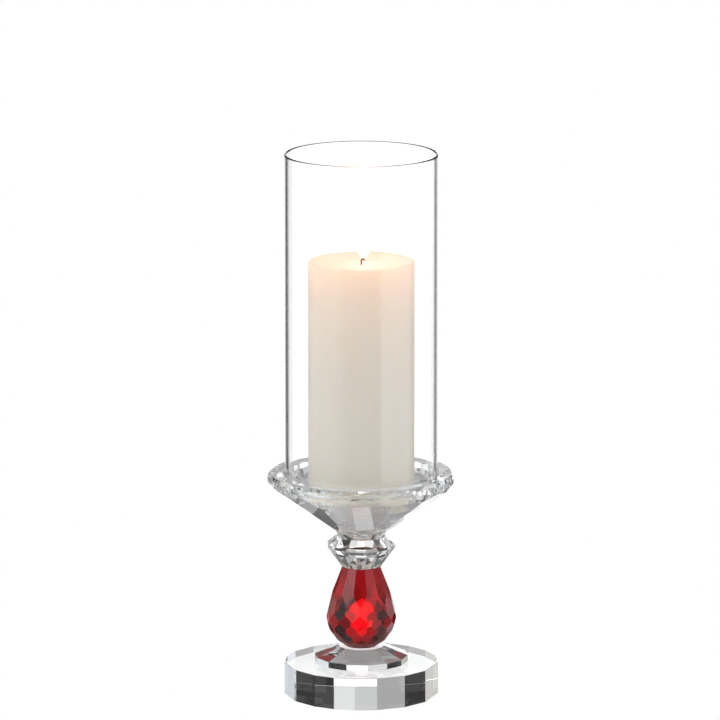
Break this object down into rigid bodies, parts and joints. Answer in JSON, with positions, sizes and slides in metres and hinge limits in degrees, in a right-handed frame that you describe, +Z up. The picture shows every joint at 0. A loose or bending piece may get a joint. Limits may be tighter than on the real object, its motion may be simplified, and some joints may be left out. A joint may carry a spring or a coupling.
{
  "type": "hurricane candle holder",
  "caption": "Cut-crystal pedestal with a red teardrop stem and a round dish that carries a lift-off glass chimney over a pillar candle.",
  "frame": {"origin": "centre of the base's flat underside, on the axis of the stack", "axes": "+Z up along the stack's axis; -Y is the front, with +X to its right"},
  "size_m": [0.122, 0.122, 0.357],
  "materials": {
    "clear_crystal": "polished cut crystal",
    "red_crystal": "polished cut crystal, ruby red",
    "chimney_glass": "thin blown glass with flame-polished rims",
    "clear_adhesive": "cured clear adhesive film",
    "wax": "satin ivory paraffin wax",
    "wick": "waxed cotton braid with a charred tip",
    "tin_plate": "tin-plated sheet"
  },
  "bodies": {
    "holder": {"base_disc": "clear_crystal", "base_bond": "clear_adhesive", "foot_collar": "clear_crystal", "collar_bond": "clear_adhesive", "red_drop": "red_crystal", "drop_bond": "clear_adhesive", "knop": "clear_crystal", "knop_bond": "clear_adhesive", "dish": "clear_crystal"},
    "chimney": {"glass_chimney": "chimney_glass"},
    "candle": {"candle_wax": "wax", "wick": "wick", "wick_tab": "tin_plate"}
  },
  "joints": [
    {"name": "chimney_lift", "type": "slide", "parent": "holder", "child": "chimney", "axis": [0, 0, 1], "range_m": [0, 0.24]},
    {"name": "candle_lift", "type": "slide", "parent": "holder", "child": "candle", "axis": [0, 0, 1], "range_m": [0, 0.23]}
  ]
}
